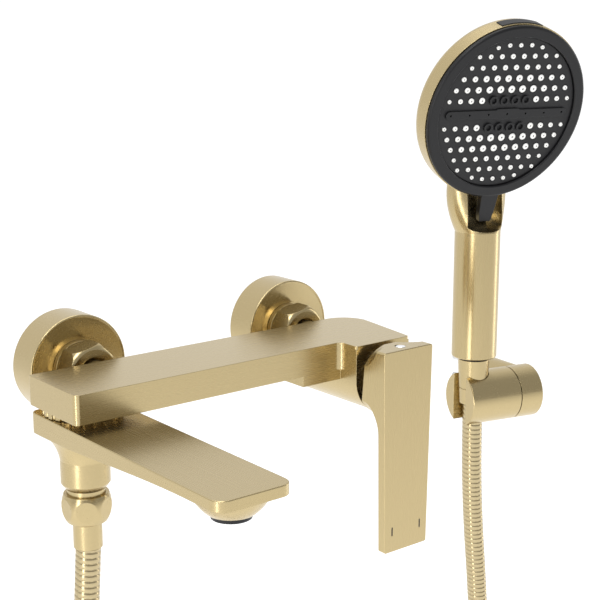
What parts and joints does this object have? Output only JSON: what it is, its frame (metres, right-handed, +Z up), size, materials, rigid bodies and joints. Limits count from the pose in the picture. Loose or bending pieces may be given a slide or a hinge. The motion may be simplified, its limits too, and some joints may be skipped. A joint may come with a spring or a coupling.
{
  "type": "wall mounted bath faucet",
  "caption": "Wall mounted bath faucet in brushed gold: flat bar body with one lever, swivelling flat spout, and a round hand shower on a metal hose in a wall holder.",
  "frame": {"origin": "on the wall plane, midway between the two inlets, at the bar's mid height", "axes": "+X to the right along the wall, -Y out of the wall, +Z up"},
  "size_m": [0.4038, 0.238, 0.7641],
  "materials": {
    "gold": "brushed champagne gold plating",
    "hose_metal": "satin spiral-wound metal",
    "plain_brass": "machined",
    "black_plastic": "satin black",
    "dark_face": "fine grained dark grey",
    "white_silicone": "soft matte",
    "rubber": "matte",
    "ceramic": "lapped ceramic",
    "steel": "satin",
    "silver": "polished",
    "inner_plastic": "moulded"
  },
  "bodies": {
    "mixer": {"cartridge_body": "inner_plastic", "cartridge_cover_ring": "gold", "cartridge_nut": "plain_brass", "cartridge_seal": "rubber", "check_valve_left": "inner_plastic", "check_valve_right": "inner_plastic", "eccentric_connector_left": "plain_brass", "eccentric_connector_right": "plain_brass", "escutcheon_left": "gold", "escutcheon_right": "gold", "fixed_disc": "ceramic", "holder_base": "gold", "holder_end_cap": "gold", "holder_grub_screw": "steel", "holder_wall_disc": "gold", "holder_wall_screws": "steel", "hose_ferrule": "gold", "inlet_tail_left": "plain_brass", "inlet_tail_right": "plain_brass", "mixer_body": "gold", "post_o_rings": "rubber", "shower_hose": "hose_metal", "spout_circlip": "steel", "spout_post": "plain_brass", "swivel_ring": "gold", "union_nut_left": "gold", "union_nut_right": "gold", "union_washer_left": "rubber", "union_washer_right": "rubber"},
    "lever_turner": {"cartridge_carrier": "inner_plastic", "moving_disc": "ceramic", "lever_pivot_pin": "steel"},
    "lever": {"lever_handle": "gold", "lever_stem": "steel", "lever_set_screw": "steel", "indicator_cap": "silver", "lever_marks": "black_plastic"},
    "spout": {"spout_arm": "gold", "aerator_housing": "black_plastic", "aerator_insert": "black_plastic", "shower_nipple": "gold", "hose_nut": "gold", "hose_washer": "rubber"},
    "barrel": {"holder_barrel": "gold", "holder_pivot_screw": "steel", "holder_spring_washer": "black_plastic"},
    "nut": {"cone_nut": "gold", "cone_washer": "rubber"},
    "handset": {"handset_shell": "gold", "edge_strip": "dark_face", "face_plate": "dark_face", "white_nozzles": "white_silicone", "black_nozzles": "black_plastic", "spray_bar": "black_plastic", "water_plate": "black_plastic", "handle_water_tube": "inner_plastic", "handset_ring": "black_plastic"},
    "selector": {"selector_ring": "black_plastic"}
  },
  "joints": [
    {"name": "lever_turn", "type": "hinge", "parent": "mixer", "child": "lever_turner", "pos_m": [0.0767, -0.106, -0.013], "axis": [0, 1, 0], "range_deg": [-40, 40]},
    {"name": "lever_lift", "type": "hinge", "parent": "lever_turner", "child": "lever", "pos_m": [0.0767, -0.106, -0.013], "axis": [-1, 0, 0], "range_deg": [0, 14]},
    {"name": "spout_swivel", "type": "hinge", "parent": "mixer", "child": "spout", "pos_m": [-0.096, -0.062, -0.03], "axis": [0, 0, 1], "range_deg": [-75, 50]},
    {"name": "holder_tilt", "type": "hinge", "parent": "mixer", "child": "barrel", "pos_m": [0.22, -0.045, -0.0678], "axis": [0.9724, -0.2334, 0], "range_deg": [0, 25], "deforming": ["shower_hose"]},
    {"name": "handset_lift", "type": "slide", "parent": "barrel", "child": "nut", "axis": [0, 0, 1], "range_m": [0, 0.03]},
    {"name": "handset_swivel", "type": "hinge", "parent": "nut", "child": "handset", "pos_m": [0.22, -0.045, 0], "axis": [0, 0, 1], "range_deg": [-45, 45]},
    {"name": "spray_select", "type": "hinge", "parent": "handset", "child": "selector", "pos_m": [0.21267, -0.07553, 0.1305], "axis": [-0.2226, -0.9274, -0.3007], "range_deg": [-5, 5]}
  ]
}
